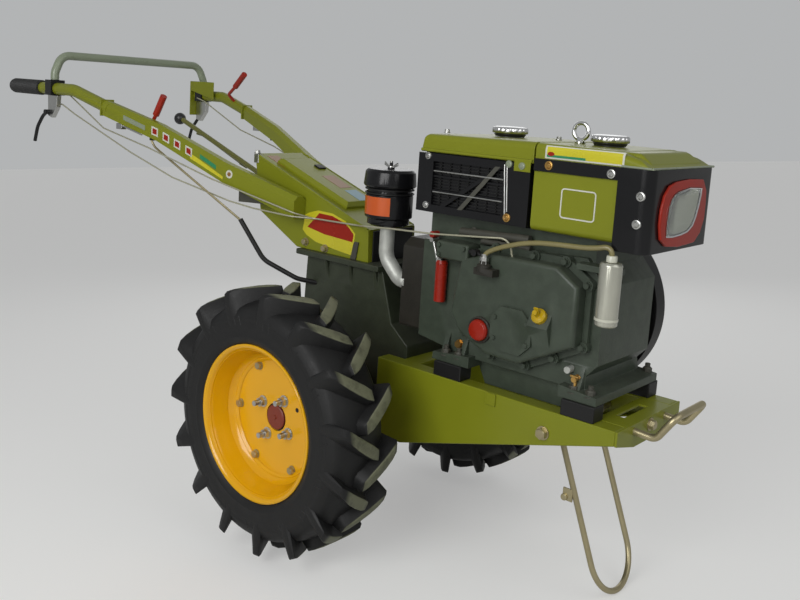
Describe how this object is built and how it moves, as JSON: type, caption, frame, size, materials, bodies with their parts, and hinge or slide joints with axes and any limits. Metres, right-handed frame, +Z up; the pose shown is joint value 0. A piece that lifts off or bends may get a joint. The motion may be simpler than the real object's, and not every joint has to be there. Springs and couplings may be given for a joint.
{
  "type": "two-wheeled walking tractor",
  "caption": "Two-wheeled walking tractor with lugged tyres, a belt-driven diesel engine on its front frame, a tool box and long handles, parked on a folding stand.",
  "frame": {"origin": "on the floor under the middle of the machine's length and width", "axes": "+X towards the engine end, +Y to the machine's left, +Z up"},
  "size_m": [2.0694, 0.812, 1.1953],
  "materials": {
    "tyre_rubber": "worn rubber",
    "wheel_yellow": "gloss paint",
    "green_paint": "gloss paint",
    "casting_green": "painted casting",
    "black_paint": "gloss paint",
    "zinc": "zinc plated",
    "bright_steel": "bare steel",
    "rust_red": "satin paint",
    "red_paint": "gloss paint",
    "black_rubber": "matt",
    "lamp_glass": "clear",
    "cream_plastic": "smooth",
    "yellow_plastic": "smooth",
    "tan_hose": "smooth",
    "silver_casting": "cast",
    "black_plastic": "moulded"
  },
  "bodies": {
    "frame": {"axle_housings": "casting_green", "gearbox": "casting_green", "belts": "black_rubber", "beam_right": "green_paint", "beam_left": "green_paint", "front_cross_plate": "green_paint", "rear_cross_plate": "green_paint", "front_loop": "zinc", "stand_pivot": "zinc", "mounting_blocks": "black_paint", "engine_block": "casting_green", "cylinder_head": "casting_green", "rocker_cover": "casting_green", "gear_cover": "casting_green", "start_cap": "red_paint", "oil_cap": "yellow_plastic", "radiator_core": "black_paint", "radiator_top": "green_paint", "radiator_guards": "black_paint", "fuel_tank": "green_paint", "filler_caps": "black_plastic", "lifting_eye": "zinc", "lamp_cowl": "black_paint", "lamp_ring": "red_paint", "lamp_glass": "lamp_glass", "air_filter": "black_paint", "air_filter_cap": "black_paint", "intake_pipe": "silver_casting", "fuel_filter": "cream_plastic", "fuel_hose": "tan_hose", "injection_pump": "bright_steel", "tool_box": "green_paint", "arm_right": "green_paint", "arm_left": "green_paint", "grip_right": "black_rubber", "hand_guard_left": "green_paint", "handle_rail": "green_paint", "rail_clamps": "black_paint", "lever_brackets": "bright_steel", "steering_levers": "black_paint", "gear_lever": "black_paint", "clutch_lever": "red_paint", "hand_lever": "red_paint", "side_lever": "black_paint", "control_rods": "zinc", "control_cables": "black_rubber", "silencer": "black_paint", "hitch": "casting_green"},
    "wheel_right": {"tyre_right": "tyre_rubber", "rim_right": "wheel_yellow", "hub_right": "casting_green"},
    "wheel_left": {"tyre_left": "tyre_rubber", "rim_left": "wheel_yellow", "hub_left": "casting_green"},
    "stand": {"stand": "zinc"},
    "tool_box_lid": {"tool_box_lid": "green_paint"},
    "flywheel": {"flywheel": "black_paint"},
    "clutch_pulley": {"clutch_pulley": "rust_red"}
  },
  "joints": [
    {"name": "wheel_right_roll", "type": "hinge", "parent": "frame", "child": "wheel_right", "pos_m": [0.22869, -0.33, 0.31585], "axis": [0, 1, 0], "continuous": true},
    {"name": "wheel_left_roll", "type": "hinge", "parent": "frame", "child": "wheel_left", "pos_m": [0.22869, 0.33, 0.31585], "axis": [0, 1, 0], "continuous": true},
    {"name": "stand_fold", "type": "hinge", "parent": "frame", "child": "stand", "pos_m": [0.78691, 0, 0.34348], "axis": [0, 1, 0], "range_deg": [0, 105]},
    {"name": "tool_box_lid_open", "type": "hinge", "parent": "frame", "child": "tool_box_lid", "pos_m": [-0.06551, 0, 0.87439], "axis": [0, -1, 0], "range_deg": [0, 85]},
    {"name": "flywheel_spin", "type": "hinge", "parent": "frame", "child": "flywheel", "pos_m": [0.69944, 0.142, 0.56187], "axis": [0, 1, 0], "continuous": true},
    {"name": "clutch_pulley_spin", "type": "hinge", "parent": "frame", "child": "clutch_pulley", "pos_m": [0.28288, 0.182, 0.46133], "axis": [0, 1, 0], "continuous": true}
  ],
  "couplings": [
    {"joint": "clutch_pulley_spin", "follows": "flywheel_spin", "ratio": 0.6059}
  ]
}
